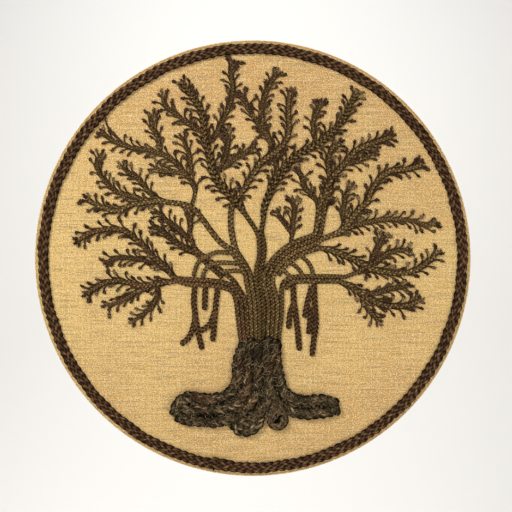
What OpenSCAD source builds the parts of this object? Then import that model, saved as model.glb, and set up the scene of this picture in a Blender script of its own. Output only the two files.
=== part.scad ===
// Round wall hanging: a tree of life in sewn jute plaits on hessian stretched over a board.
// The disc stands in the XZ plane and faces -Y. The origin is the middle of the board's back.

/* [Board and cloth] */
// Diameter of the finished disc, over the cloth
disc_d = 800; // [600:10:1000]
// Thickness of the plywood board
board_t = 5; // [5:0.5:12]
// Thickness of the hessian
cloth_t = 1; // [0.6:0.1:1.5]
// How far the hessian turns in over the back of the board
hem_w = 30; // [20:1:50]

/* [Staples] */
// Length of a staple's crown
staple_w = 10; // [6:0.5:13]
// Thickness of the staple wire
staple_wire = 0.8; // [0.5:0.1:1.2]
// How far a staple's legs go into the board
staple_bite = 3.5; // [2:0.5:4.5]
// Distance from the turned-in edge to the row of staples
staple_inset = 9; // [6:1:12]
// Distance from one staple to the next
staple_pitch = 45; // [30:1:80]

/* [Border plait] */
// Width of the flat plait round the edge
border_w = 21; // [15:0.5:28]
// Thickness of the flat plait round the edge
border_t = 5; // [3:0.5:7]
// Strip of cloth left showing outside the border plait
rim_w = 5.5; // [3:0.5:10]
// Length of the lap where the border plait's end lies over its start
lap_l = 44; // [30:1:60]
// How much further in the lap reaches than the rest of the border
lap_proud = 4; // [2:0.5:6]
// How much thicker the border is at the lap
lap_rise = 1.5; // [0.5:0.5:3]
// Where the lap is, in degrees from the bottom towards the left
lap_at = 8; // [4:1:20]

/* [Tree plaits] */
// Width of a trunk or limb plait
plait_w = 8.1; // [6.5:0.1:10]
// Thickness of a trunk or limb plait
plait_t = 4; // [2.5:0.5:6]
// Width of a limb plait or shoot at its tip
tip_w = 6.5; // [4:0.5:7]
// Width of a side shoot where it starts
shoot_w = 7; // [5.5:0.5:9]
// Thickness of a side shoot
shoot_t = 3; // [2:0.5:4]
// Clearance between neighbouring plaits
gap = 0.25; // [0.1:0.05:0.5]

/* [Aerial roots] */
// Width of a hanging root cord
hanging_w = 11.5; // [9:0.5:14]
// Width of an arching root cord
arch_w = 8.5; // [6:0.5:10]
// Thickness of the aerial roots
aerial_t = 4; // [2.5:0.5:6]

/* [Root plaits] */
// Width of a coarse root plait
coarse_w = 19.5; // [16:0.5:22]
// Thickness of a coarse root plait
coarse_t = 9; // [6:0.5:12]

/* [Hanger] */
// Thickness of the ring's wire
wire_d = 2.5; // [2:0.1:3.5]
// Width of the ring between the middles of its sides
ring_w = 22; // [20:1:30]
// Height of the ring between the middles of its bar and its bow
ring_h = 20; // [18:1:28]
// Bend radius at the ring's corners
ring_bend = 3; // [2.5:0.5:5]
// Width of the strap that holds the ring
strap_w = 12; // [8:0.5:12]
// Length of the strap below the ring's bar
strap_l = 36; // [34:1:44]
// Thickness of the strap's sheet, which is folded double
sheet_t = 0.8; // [0.6:0.1:1.2]
// Radial clearance of the ring's bar in the strap
bar_clear = 0.1; // [0.05:0.05:0.2]
// Diameter of the screws' shanks
screw_d = 3; // [2.5:0.5:3.5]
// Diameter of the screws' heads
screw_head_d = 5.6; // [5:0.2:6.4]
// Height of the screws' heads
screw_head_h = 1.8; // [1.2:0.2:2.4]
// How far the screws go into the board
screw_bite = 4; // [2.5:0.5:4]
// Clearance round the screws in the strap
screw_clear = 0.2; // [0.1:0.05:0.4]
// Distance from the turned-in cloth to the top of the ring
ring_margin = 14; // [6:1:30]

/* [Hidden] */
$fn = 48;

disc_r = disc_d / 2;
board_r = disc_r - cloth_t;
hem_r = disc_r - hem_w;
border_r = disc_r - rim_w;
field_r = border_r - border_w;
front = board_t + cloth_t;

// The tree's routes are drawn for this field radius and grow with the real one.
drawn_field_r = 373.5;
tree_k = field_r / drawn_field_r;

pivot_y = hem_r - ring_margin - wire_d / 2 - ring_h;
bar_r = wire_d / 2;
bore_r = bar_r + bar_clear;
barrel_r = bore_r + sheet_t;
pivot_z = -(barrel_r + bar_clear);
strap_t = 2 * sheet_t;
screw_step = (strap_l - screw_head_d) / 2 - screw_clear;
screw_ys = [pivot_y - screw_step / 2 - barrel_r, pivot_y - screw_step * 3 / 2 - barrel_r - wire_d];

cloth_colour = [0.83, 0.68, 0.43];
ply_colour = [0.80, 0.65, 0.45];
steel_colour = [0.75, 0.74, 0.70];
border_colour = [0.30, 0.19, 0.12];
olive_colour = [0.35, 0.28, 0.17];
red_brown_colour = [0.34, 0.22, 0.14];
root_colour = [0.35, 0.25, 0.15];
coarse_colour = [0.21, 0.17, 0.11];

// ---- Curves -------------------------------------------------------------------------------

curve_steps = 3;

function spline(a, b, c, d, t) =
  0.5 * (2 * b + (c - a) * t + (2 * a - 5 * b + 4 * c - d) * t * t + (3 * b - a - 3 * c + d) * t * t * t);

// A smooth curve through a route's points.
function smooth(p) = let (last = len(p) - 1) concat(
  [for (i = [0 : last - 1], k = [0 : curve_steps - 1])
    spline(p[max(i - 1, 0)], p[i], p[i + 1], p[min(i + 2, last)], k / curve_steps)],
  [p[last]]
);

function heading(p, i) = let (v = p[min(i + 1, len(p) - 1)] - p[max(i - 1, 0)]) v / norm(v);
function left_of(v) = [-v[1], v[0]];

// A route moved sideways to the right, so that plaits can lie next to each other.
function beside(p, d) = [for (i = [0 : len(p) - 1]) p[i] - d * left_of(heading(p, i))];

function grown(p) = [for (q = p) q * tree_k];

function part_of(p, from, to) = [for (i = [from : to]) p[i]];

// ---- Trunk --------------------------------------------------------------------------------

columns = 11;
pitch = plait_w + gap;
trunk_levels = [-158, -130, -105, -78];
trunk_middle = [[-150, 13], [-130, 12.5], [-105, 12.5], [-78, 11]];
trunk_squeeze = [[-150, 0.83], [-130, 0.89], [-105, 0.96], [-78, 1]];

// The way up the trunk of one of its plaits, counted from the left.
function trunk(k) = [for (z = trunk_levels) [
  lookup(z, trunk_middle) * tree_k + (k - (columns - 1) / 2) * pitch * lookup(z, trunk_squeeze),
  z * tree_k
]];

// ---- Routes of the limbs: their middles, from the trunk outwards ---------------------------

limb_left_low = grown([[-38, -56], [-59, -48], [-82, -45], [-98, -44], [-120, -43]]);
limb_left_mid = grown([[-37, -46], [-53, -32], [-69, -18], [-83, -6]]);
limb_centre = grown([[10, -40], [11, -20], [16, 4], [16, 28], [12, 48]]);
limb_right = grown([[32, -42], [37, -23], [52, -4], [70, 11], [92, 22], [110, 28]]);
limb_right_low = grown([[57, -53], [68, -41], [88, -38], [120, -38], [150, -38]]);

// ---- Routes of what leaves the limbs -------------------------------------------------------

way_left_far = grown([[-140, -42], [-155, -44], [-175, -46], [-192, -50], [-210, -50], [-226, -45],
  [-250, -41], [-270, -45], [-290, -55], [-304, -66]]);
way_left_drop = grown([[-144, -35], [-160, -16], [-180, 0], [-196, 18], [-214, 35], [-230, 48], [-255, 54],
  [-280, 51], [-302, 44], [-320, 32]]);
way_left_riser = grown([[-100, 12], [-110, 26], [-115, 45], [-115, 65], [-114, 84]]);
way_left_claw = grown([[-104, 8], [-115, 15], [-130, 22], [-150, 36], [-168, 52], [-184, 56]]);
way_left_high = grown([[-16, -24], [-30, 0], [-42, 16], [-62, 32], [-78, 52], [-94, 74], [-108, 90],
  [-124, 98], [-150, 102], [-176, 105], [-194, 102], [-210, 100], [-228, 96], [-248, 86], [-272, 92],
  [-290, 100], [-304, 110]]);
way_crossing = grown([[-6, -26], [-19, -4], [-30, 12], [-36, 32], [-40, 58], [-40, 84], [-34, 104],
  [-18, 124], [-2, 150], [16, 176], [32, 187], [46, 198], [59, 213], [66, 232], [66, 254], [65, 280],
  [68, 306]]);
way_centre_left = grown([[-12, 78], [-28, 100], [-44, 118], [-62, 138], [-74, 158], [-77, 180],
  [-84, 204], [-90, 226], [-90, 248], [-97, 274], [-110, 294], [-130, 324]]);
way_centre_right = grown([[19, 68], [21, 92], [28, 112], [36, 132], [46, 148], [57, 161], [76, 186],
  [102, 200], [124, 211], [142, 228], [160, 246], [172, 264], [180, 284], [192, 302]]);
way_right_high = grown([[114, 46], [118, 62], [121, 84], [123, 102], [134, 122], [142, 142], [158, 162],
  [172, 178], [188, 196], [208, 206], [230, 214], [254, 222]]);
way_right_inner = grown([[123, 44], [127, 62], [130, 84], [132, 100], [141, 122], [140, 150], [138, 176],
  [143, 198], [160, 210]]);
way_right_mid = grown([[128, 35], [148, 43], [164, 51], [178, 68], [194, 88], [210, 104], [219, 128],
  [234, 148], [254, 160], [274, 162], [296, 166], [310, 172]]);
way_right_reach = grown([[128, 18], [150, 12], [174, 2], [196, -8], [218, -20], [244, -26], [272, -28],
  [298, -22], [319, -8], [338, 10]]);
way_right_low_up = grown([[170, -34], [188, -27], [204, -20]]);
way_right_low_down = grown([[162, -44], [178, -51], [196, -64], [216, -76], [238, -86], [264, -88],
  [288, -86], [308, -76]]);

// ---- Routes of the side shoots -------------------------------------------------------------

shoots_left_low = [
  grown([[-190, -54], [-210, -60], [-226, -70], [-246, -80], [-265, -87]]),
  grown([[-173, -50], [-175, -70], [-185, -90], [-204, -105], [-220, -116]]),
  grown([[-175, -12], [-195, -5], [-214, -1], [-236, 1], [-255, -1], [-270, -9]])
];
shoots_left_mid = [grown([[-116, 32], [-130, 48], [-150, 64], [-174, 85]])];
shoot_left_far = [grown([[-200, 107], [-228, 115], [-250, 122], [-265, 135], [-279, 152], [-286, 172], [-279, 190]])];
shoot_left_crown = [grown([[-112, 98], [-107, 114], [-107, 130], [-115, 145], [-128, 160], [-144, 178], [-164, 190],
  [-188, 198], [-214, 201], [-238, 208], [-260, 218], [-276, 233]])];
shoots_left_fan = [
  grown([[-181, 110], [-191, 122], [-201, 135], [-214, 150], [-230, 158], [-241, 170]]),
  grown([[-122, 153], [-143, 159], [-164, 159], [-180, 168]])
];
shoots_left_crown_side = [
  grown([[-169, 198], [-175, 223], [-186, 243], [-184, 263]]),
  grown([[-113, 152], [-115, 178], [-120, 198], [-130, 222]])
];
shoot_crown_left = [grown([[-90, 228], [-107, 239], [-127, 254], [-148, 269], [-163, 284], [-165, 299]])];
shoot_crown_tall = [grown([[-76, 212], [-64, 236], [-50, 264], [-40, 290], [-37, 316], [-41, 340], [-36, 358]])];
shoots_crown_inner = [
  grown([[-64, 156], [-53, 180], [-48, 198], [-46, 216], [-50, 234]]),
  grown([[-60, 160], [-37, 179], [-21, 189], [-6, 198], [4, 205]])
];
shoot_crown_middle_left = [grown([[35, 200], [28, 220], [16, 239], [5, 254], [-6, 269], [-14, 288], [-20, 300]])];
shoot_crown_middle_right = [grown([[33, 206], [27, 226], [18, 246], [16, 264], [16, 280], [24, 303], [32, 320], [44, 340]])];
shoots_crown_right = [
  grown([[114, 214], [110, 238], [112, 258], [120, 274], [124, 287]]),
  grown([[41, 146], [44, 165], [40, 182]])
];
shoots_right_high_side = [
  grown([[118, 102], [104, 120], [92, 135], [90, 152], [82, 164]]),
  grown([[168, 172], [193, 178], [208, 185], [221, 193]])
];
shoot_right_mid_side = [grown([[168, 60], [165, 80], [167, 100], [170, 114], [179, 130]])];
shoot_right_long = [grown([[150, 46], [174, 55], [196, 62], [216, 67], [242, 71], [272, 71], [298, 67], [320, 59], [334, 63]])];
shoots_right_reach = [
  grown([[214, -14], [222, 9], [231, 23], [238, 42]]),
  grown([[220, -12], [245, 7], [267, 14], [286, 16]])
];
shoots_right_low = [
  grown([[203, -66], [227, -64], [249, -57], [271, -53], [284, -53]]),
  grown([[198, -72], [209, -90], [220, -104], [231, -118]])
];
shoots_right_fork = [
  grown([[69, 22], [72, 50], [74, 71], [76, 91], [74, 107]]),
  grown([[70, 46], [53, 70], [45, 87]])
];

// ---- Routes of the aerial roots ------------------------------------------------------------

arches_left = [
  grown([[-44, 9], [-63, 11], [-84, 4], [-100, -8], [-108, -30]]),
  grown([[-30, -10], [-50, -8], [-72, -10], [-86, -20], [-92, -34]]),
  grown([[-20, -24], [-38, -23], [-54, -25]])
];
arches_right = [
  grown([[86, 6], [100, -6], [108, -20], [110, -32]]),
  grown([[58, -5], [75, -12], [87, -24], [92, -34]]),
  grown([[44, -18], [58, -24], [68, -34]])
];
hanging_left_outer = [
  grown([[-106, -50], [-108, -80], [-106, -110], [-115, -142], [-128, -155]]),
  grown([[-106, -104], [-99, -142], [-94, -162]])
];
hanging_left_middle = [grown([[-87, -50], [-88, -90]])];
hanging_left_inner = [
  grown([[-64, -52], [-69, -98], [-71, -128], [-73, -147]]),
  grown([[-69, -96], [-78, -120], [-91, -131]])
];
hanging_right_inner = [
  grown([[74, -44], [75, -75], [78, -98], [82, -130], [85, -164]]),
  grown([[76, -80], [68, -104], [66, -124]])
];
hanging_right_outer = [
  grown([[112, -44], [114, -86], [116, -120], [112, -148], [109, -174]]),
  grown([[108, -52], [99, -86], [96, -104]]),
  grown([[108, -90], [103, -134]])
];

// ---- Routes of the coarse root plaits ------------------------------------------------------

coarse_columns = 5;
coarse_squeeze = [[-225, 1], [-190, 0.91], [-152, 0.78]];
coarse_middle = [[-225, 10], [-190, 8], [-152, 13]];
coarse_levels = [-152, -190, -225];
function coarse_trunk(k) = [for (z = coarse_levels) [
  lookup(z, coarse_middle) * tree_k + (k - (coarse_columns - 1) / 2) * coarse_w * lookup(z, coarse_squeeze),
  z * tree_k - gap
]];
way_root_left_top = grown([[-40, -245], [-62, -256], [-90, -257], [-114, -254], [-134, -264], [-142, -280]]);
way_root_left_middle = grown([[-18, -252], [-40, -271], [-66, -277], [-95, -276], [-122, -278]]);
way_root_left_bottom = grown([[4, -252], [-12, -274], [-36, -291], [-62, -299], [-92, -298], [-116, -296],
  [-133, -291]]);
way_root_centre = grown([[26, -255], [14, -279], [-6, -297], [-24, -307]]);
fold_root_centre = grown([[27, -284], [17, -300], [2, -312], [-20, -318]]);
way_root_right_top = grown([[58, -246], [80, -259], [105, -261], [130, -260], [149, -267]]);
way_root_right_bottom = grown([[34, -238], [40, -258], [60, -276], [94, -284], [126, -282], [151, -277]]);
coil_middle = [48, -297] * tree_k;
coil_outer_r = coarse_w;
coil_hole_r = 2.2;

// ---- The table of plaits -------------------------------------------------------------------
// Each row: node name, colour, routes, width at the start, width at the end, thickness.
// A row lies over the rows after it, and those are cut back where it covers them.

function limb_row(name, colour, ways) = [name, colour, ways, plait_w, tip_w, plait_t];
function shoot_row(name, colour, ways) = [name, colour, ways, shoot_w, tip_w, shoot_t];
function aerial_row(name, ways, w) = [name, root_colour, ways, w, w, aerial_t];
function coarse_row(name, ways) = [name, coarse_colour, ways, coarse_w, coarse_w, coarse_t];

half = pitch / 2;
plaits = [
  coarse_row("root_plait_left_top", [concat(coarse_trunk(0), way_root_left_top)]),
  coarse_row("root_plait_right_top", [concat(coarse_trunk(4), way_root_right_top)]),
  coarse_row("root_plait_left_middle", [concat(coarse_trunk(1), way_root_left_middle)]),
  coarse_row("root_plait_centre", [concat(coarse_trunk(3), way_root_centre), fold_root_centre]),
  coarse_row("root_plait_left_bottom", [concat(coarse_trunk(2), way_root_left_bottom)]),
  coarse_row("root_plait_right_bottom", [way_root_right_bottom]),
  limb_row("crossing_plait", olive_colour, [concat(trunk(4), [[-2, -50] * tree_k], way_crossing)]),
  limb_row("left_high_plait", olive_colour, [concat(trunk(3), [[-10.5, -50] * tree_k], way_left_high)]),
  limb_row("centre_left_plait", olive_colour, [concat(trunk(5), beside(limb_centre, -half), way_centre_left)]),
  limb_row("centre_right_plait", olive_colour, [concat(trunk(6), beside(limb_centre, half), way_centre_right)]),
  limb_row("right_high_plait", olive_colour, [concat(trunk(7), beside(limb_right, -3 * half), way_right_high)]),
  limb_row("right_inner_plait", olive_colour, [concat(trunk(8), beside(limb_right, -half), way_right_inner)]),
  limb_row("right_mid_plait", olive_colour, [concat(trunk(9), beside(limb_right, half), way_right_mid)]),
  limb_row("right_reaching_plait", olive_colour,
    [concat(beside(part_of(limb_right, 1, 5), 3 * half), way_right_reach)]),
  limb_row("right_low_upper_plait", olive_colour,
    [concat(trunk(10), beside(limb_right_low, -half), way_right_low_up)]),
  limb_row("right_low_lower_plait", olive_colour,
    [concat(beside(part_of(limb_right_low, 0, 4), half), way_right_low_down)]),
  limb_row("left_mid_upper_plait", red_brown_colour, [concat(trunk(2), beside(limb_left_mid, half), way_left_riser)]),
  limb_row("left_low_inner_plait", red_brown_colour, [concat(trunk(1), beside(limb_left_low, half), way_left_drop)]),
  limb_row("left_low_outer_plait", red_brown_colour, [concat(trunk(0), beside(limb_left_low, -half), way_left_far)]),
  limb_row("left_mid_lower_plait", red_brown_colour,
    [concat(beside(part_of(limb_left_mid, 1, 3), -half), way_left_claw)]),
  shoot_row("left_low_shoots", red_brown_colour, shoots_left_low),
  shoot_row("left_mid_shoot", red_brown_colour, shoots_left_mid),
  shoot_row("left_far_shoot", olive_colour, shoot_left_far),
  shoot_row("left_crown_shoot", olive_colour, shoot_left_crown),
  shoot_row("left_fan_shoots", olive_colour, shoots_left_fan),
  shoot_row("left_crown_side_shoots", olive_colour, shoots_left_crown_side),
  shoot_row("crown_left_shoot", olive_colour, shoot_crown_left),
  shoot_row("crown_tall_shoot", olive_colour, shoot_crown_tall),
  shoot_row("crown_inner_shoots", olive_colour, shoots_crown_inner),
  shoot_row("crown_middle_left_shoot", olive_colour, shoot_crown_middle_left),
  shoot_row("crown_middle_right_shoot", olive_colour, shoot_crown_middle_right),
  shoot_row("crown_right_shoots", olive_colour, shoots_crown_right),
  shoot_row("right_high_side_shoots", olive_colour, shoots_right_high_side),
  shoot_row("right_mid_side_shoot", olive_colour, shoot_right_mid_side),
  shoot_row("right_long_shoot", olive_colour, shoot_right_long),
  shoot_row("right_reaching_shoots", olive_colour, shoots_right_reach),
  shoot_row("right_low_shoots", olive_colour, shoots_right_low),
  shoot_row("right_fork_shoots", red_brown_colour, shoots_right_fork),
  aerial_row("aerial_arches_left", arches_left, arch_w),
  aerial_row("aerial_arches_right", arches_right, arch_w),
  aerial_row("hanging_root_left_outer", hanging_left_outer, hanging_w),
  aerial_row("hanging_root_left_middle", hanging_left_middle, hanging_w),
  aerial_row("hanging_root_left_inner", hanging_left_inner, hanging_w),
  aerial_row("hanging_root_right_inner", hanging_right_inner, hanging_w),
  aerial_row("hanging_root_right_outer", hanging_right_outer, hanging_w)
];

// ---- Outlines of plaits ---------------------------------------------------------------------

// Width at a point: squeezed low in the trunk, full in the middle, and tapering over the last half.
function width_at(row, q, i) =
  let (along = i / (len(q) - 1), tapered = row[4] + (row[3] - row[4]) * min(1, 2 * (1 - along)))
  tapered * lookup(q[i][1] / tree_k, row[5] == coarse_t ? coarse_squeeze : trunk_squeeze);

// The outline of a strip along a smoothed route, with a round end, grown by extra all round.
function outline(row, route, extra) =
  let (
    last = len(route) - 1,
    q = concat([route[0] - extra * heading(route, 0)], part_of(route, 1, last)),
    half_w = [for (i = [0 : last]) width_at(row, q, i) / 2 + extra],
    side = [for (i = [0 : last]) left_of(heading(q, i))],
    ahead = heading(q, last)
  )
  concat(
    [for (i = [0 : last]) q[i] + half_w[i] * side[i]],
    [for (a = [30 : 30 : 150]) q[last] + half_w[last] * (cos(a) * side[last] + sin(a) * ahead)],
    [for (i = [last : -1 : 0]) q[i] - half_w[i] * side[i]]
  );

module strips(row, extra = 0) {
  for (way = row[2]) polygon(outline(row, smooth(way), extra));
}

function low(ways) = [for (a = [0, 1]) min([for (w = ways, p = w) p[a]]) - coarse_w];
function high(ways) = [for (a = [0, 1]) max([for (w = ways, p = w) p[a]]) + coarse_w];
function near(a, b) =
  low(a)[0] < high(b)[0] && low(b)[0] < high(a)[0] && low(a)[1] < high(b)[1] && low(b)[1] < high(a)[1];

module plait(n) {
  row = plaits[n];
  color(row[1]) on_cloth(row[5]) difference() {
    strips(row);
    for (m = [0 : 1 : n - 1]) if (near(row[2], plaits[m][2])) strips(plaits[m], gap);
    if (row[5] == coarse_t) translate(coil_middle) circle(coil_outer_r + gap);
  }
}

// ---- Placing --------------------------------------------------------------------------------

// Stands a part drawn face up onto its edge, so that it faces -Y.
module upright() {
  rotate([90, 0, 0]) children();
}

module on_cloth(t) {
  upright() translate([0, 0, front]) linear_extrude(t) children();
}

// ---- Board, cloth and staples ----------------------------------------------------------------

module backing_board() {
  color(ply_colour) upright() difference() {
    cylinder(r = board_r, h = board_t, $fn = 180);
    for (y = screw_ys) translate([0, y, -1]) cylinder(d = screw_d, h = screw_bite + 1);
  }
}

module ground_cloth() {
  color(cloth_colour) upright() rotate_extrude($fn = 180) polygon([
    [0, board_t], [board_r, board_t], [board_r, 0], [hem_r, 0], [hem_r, -cloth_t],
    [disc_r - cloth_t / 2, -cloth_t], [disc_r, -cloth_t / 2],
    [disc_r, front - cloth_t / 2], [disc_r - cloth_t / 2, front], [0, front]
  ]);
}

// A staple is driven until its crown lies flush in the cloth.
module staple() {
  translate([-staple_w / 2, -staple_wire / 2, -cloth_t]) cube([staple_w, staple_wire, staple_wire]);
  for (x = [-staple_w / 2, staple_w / 2 - staple_wire])
    translate([x, -staple_wire / 2, -cloth_t]) cube([staple_wire, staple_wire, cloth_t + staple_bite]);
}

module cloth_staples() {
  row_r = hem_r + staple_inset;
  count = round(2 * PI * row_r / staple_pitch);
  color(steel_colour) upright() for (i = [0 : count - 1]) rotate(360 / count * i) translate([0, row_r, 0]) staple();
}

// ---- Hanger ----------------------------------------------------------------------------------

module along_x(r, l) {
  rotate([0, 90, 0]) cylinder(r = r, h = l, center = true);
}

module hanger_strap() {
  color(steel_colour) upright() difference() {
    union() {
      translate([-strap_w / 2, pivot_y - strap_l, -strap_t]) cube([strap_w, strap_l, strap_t]);
      translate([0, pivot_y, pivot_z]) along_x(barrel_r, strap_w);
    }
    translate([0, pivot_y, pivot_z]) along_x(bore_r, strap_w + 2);
    for (y = screw_ys) translate([0, y, -strap_t - 1]) cylinder(r = screw_d / 2 + screw_clear, h = strap_t + 2);
  }
}

module hanger_screws() {
  color(steel_colour) upright() for (y = screw_ys) translate([0, y, -strap_t]) {
    cylinder(d = screw_d, h = strap_t + screw_bite);
    translate([0, 0, -screw_head_h]) cylinder(d = screw_head_d, h = screw_head_h);
  }
}

module ring_side() {
  corner_x = ring_w / 2 - ring_bend;
  translate([corner_x, ring_bend, 0]) rotate(-90) rotate_extrude(angle = 90) translate([ring_bend, 0]) circle(bar_r);
  translate([ring_w / 2, ring_bend, 0]) rotate([-90, 0, 0]) cylinder(r = bar_r, h = ring_h - ring_w / 2 - ring_bend);
}

module hanger_ring() {
  color(steel_colour) upright() translate([0, pivot_y, pivot_z]) {
    along_x(bar_r, ring_w - 2 * ring_bend);
    ring_side();
    mirror([1, 0, 0]) ring_side();
    translate([0, ring_h - ring_w / 2, 0]) rotate_extrude(angle = 180) translate([ring_w / 2, 0]) circle(bar_r);
  }
}

// ---- Border and coil ---------------------------------------------------------------------------

module border_plait() {
  edge = border_t / 4;
  lap_angle = lap_l / field_r * 180 / PI;
  lap_t = border_t + lap_rise;
  color(border_colour) upright() translate([0, 0, front]) {
    rotate_extrude($fn = 180) polygon([
      [field_r, 0], [border_r, 0], [border_r, border_t - edge], [border_r - edge, border_t],
      [field_r + edge, border_t], [field_r, border_t - edge]
    ]);
    rotate(-90 - lap_at - lap_angle / 2) rotate_extrude(angle = lap_angle) polygon([
      [field_r - lap_proud, 0], [field_r + border_w / 2, 0], [field_r + border_w / 2, lap_t],
      [field_r - lap_proud + edge, lap_t], [field_r - lap_proud, lap_t - edge]
    ]);
  }
}

module root_coil() {
  color(coarse_colour) on_cloth(coarse_t) translate(coil_middle) difference() {
    circle(coil_outer_r);
    circle(coil_hole_r);
  }
}

backing_board();
ground_cloth();
cloth_staples();
hanger_strap();
hanger_screws();
hanger_ring();
border_plait();
root_coil();
for (n = [0 : len(plaits) - 1]) plait(n);
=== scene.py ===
"""A round wall hanging: a tree of life in sewn jute plaits on hessian over a plywood disc.

The pieces are made in the order in which the hanging is put together. It faces -Y and stands in XZ.
"""

import math
import random

import bmesh
import bpy
import numpy as np
from mathutils import Matrix, Vector


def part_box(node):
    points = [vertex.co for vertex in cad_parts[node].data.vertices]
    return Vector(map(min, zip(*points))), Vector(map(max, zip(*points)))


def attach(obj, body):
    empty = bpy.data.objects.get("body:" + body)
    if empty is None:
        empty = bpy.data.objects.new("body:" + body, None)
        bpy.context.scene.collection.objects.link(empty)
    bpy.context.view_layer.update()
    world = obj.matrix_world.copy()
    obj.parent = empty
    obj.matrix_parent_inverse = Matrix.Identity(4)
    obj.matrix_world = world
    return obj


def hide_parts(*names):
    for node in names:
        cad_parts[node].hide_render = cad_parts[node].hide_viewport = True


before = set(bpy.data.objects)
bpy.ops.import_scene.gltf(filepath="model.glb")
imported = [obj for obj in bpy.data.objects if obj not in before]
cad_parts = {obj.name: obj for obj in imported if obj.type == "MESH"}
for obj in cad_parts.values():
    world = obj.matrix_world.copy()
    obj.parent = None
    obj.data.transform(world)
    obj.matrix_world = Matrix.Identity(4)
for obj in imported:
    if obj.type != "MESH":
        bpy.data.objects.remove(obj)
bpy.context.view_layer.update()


# ---- Studio ---------------------------------------------------------------------------------
# The camera looks straight at the front. A pale room goes round the hanging: a floor well below
# it that curves up into a wall a long way behind, with large soft lamps before and behind.

cloth_low, cloth_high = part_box("ground_cloth")
disc_r = cloth_high.x
cloth_front = cloth_low.y
cloth_back = cloth_high.y

camera_data = bpy.data.cameras.new("camera")
camera_data.lens = 50
camera_data.sensor_width = 36
camera = bpy.data.objects.new("camera", camera_data)
camera_away = 1.305
camera.location = (0.0059, cloth_front - camera_away, 0.0039)
camera.rotation_euler = (math.pi / 2, 0, 0)
bpy.context.scene.collection.objects.link(camera)
bpy.context.scene.camera = camera
bpy.context.scene.view_settings.view_transform = "Standard"


class Amount:
    """A number that varies over a surface. Arithmetic on it adds Math nodes to its material."""

    def __init__(self, finish, socket):
        self.finish = finish
        self.socket = socket

    def math(self, operation, first, second=0.0):
        return self.finish.node("ShaderNodeMath", {"operation": operation}, {0: first, 1: second})

    def __add__(self, other):
        return self.math("ADD", self, other)

    def __sub__(self, other):
        return self.math("SUBTRACT", self, other)

    def __rsub__(self, other):
        return self.math("SUBTRACT", other, self)

    def __mul__(self, other):
        return self.math("MULTIPLY", self, other)

    def __pow__(self, other):
        return self.math("POWER", self, other)

    __radd__ = __add__
    __rmul__ = __mul__

    def sine(self):
        return self.math("SINE", self)

    def size(self):
        return self.math("ABSOLUTE", self)

    def between(self, low, high):
        """0 below low, 1 above high, and a smooth rise from one to the other."""
        settings = {"interpolation_type": "SMOOTHSTEP"}
        sockets = {"Value": self, "From Min": low, "From Max": high}
        return self.finish.node("ShaderNodeMapRange", settings, sockets)


class Finish:
    """One material, built up node by node round its shader."""

    def __init__(self, name, surface):
        self.material = bpy.data.materials.new(name)
        self.material.use_nodes = True
        self.tree = self.material.node_tree
        self.shader = self.tree.nodes["Principled BSDF"]
        self.set(surface)

    def set(self, surface):
        for socket, value in surface.items():
            self.feed(self.shader.inputs[socket], value)

    def feed(self, socket, value):
        if isinstance(value, Amount):
            self.tree.links.new(value.socket, socket)
        else:
            socket.default_value = value

    def node(self, kind, settings, sockets, output=0):
        made = self.tree.nodes.new(kind)
        for name, value in settings.items():
            if name == "stops":
                stops = made.color_ramp.elements
                stops.remove(stops[1])
                stops[0].position, stops[0].color = value[0][0], (*value[0][1], 1)
                for place, colour in value[1:]:
                    stops.new(place).color = (*colour, 1)
            else:
                setattr(made, name, value)
        for name, value in sockets.items():
            self.feed(made.inputs[name], value)
        return Amount(self, made.outputs[output])

    def place(self):
        return self.node("ShaderNodeTexCoord", {}, {}, "Object")

    def parts(self, vector):
        split = self.node("ShaderNodeSeparateXYZ", {}, {"Vector": vector}).socket.node
        return [Amount(self, split.outputs[axis]) for axis in ("X", "Y", "Z")]

    def vector(self, x, y, z):
        return self.node("ShaderNodeCombineXYZ", {}, {"X": x, "Y": y, "Z": z})

    def noise(self, vector, scale, detail=2.0):
        sockets = {"Vector": vector, "Scale": scale, "Detail": detail}
        return self.node("ShaderNodeTexNoise", {}, sockets, "Fac")

    def ramp(self, amount, stops):
        return self.node("ShaderNodeValToRGB", {"stops": stops}, {"Fac": amount})

    def mix(self, share, first, second, how="MIX"):
        colours = [(*c, 1) if isinstance(c, tuple) else c for c in (first, second)]
        settings = {"data_type": "RGBA", "blend_type": how}
        return self.node("ShaderNodeMix", settings, {0: share, 6: colours[0], 7: colours[1]}, 2)

    def bump(self, height, distance, strength=1.0):
        sockets = {"Height": height, "Distance": distance, "Strength": strength}
        self.set({"Normal": self.node("ShaderNodeBump", {}, sockets)})


def link(obj):
    bpy.context.scene.collection.objects.link(obj)
    return obj


def soft_lamp(name, place, aim, size, watts, colour):
    data = bpy.data.lights.new(name, "AREA")
    data.size = size
    data.energy = watts
    data.color = colour
    lamp = link(bpy.data.objects.new(name, data))
    lamp.location = place
    lamp.rotation_euler = (Vector(aim) - Vector(place)).to_track_quat("-Z", "Y").to_euler()


soft_lamp("lamp_front_left", (-1.5, -1.6, 1.6), (0.1, 0, -0.1), 0.7, 66, (1, 0.985, 0.96))
soft_lamp("lamp_front_right", (1.6, -1.7, -1.0), (0.15, 0, -0.15), 1.4, 26, (1, 0.99, 0.97))
soft_lamp("lamp_behind", (-1.2, 2.0, 1.4), (0, 0, 0), 1.0, 20, (1, 0.98, 0.95))
soft_lamp("lamp_wall", (0.0, 0.7, 2.3), (0.0, 2.2, -1.5), 2.0, 46, (1, 1, 1))

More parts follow.
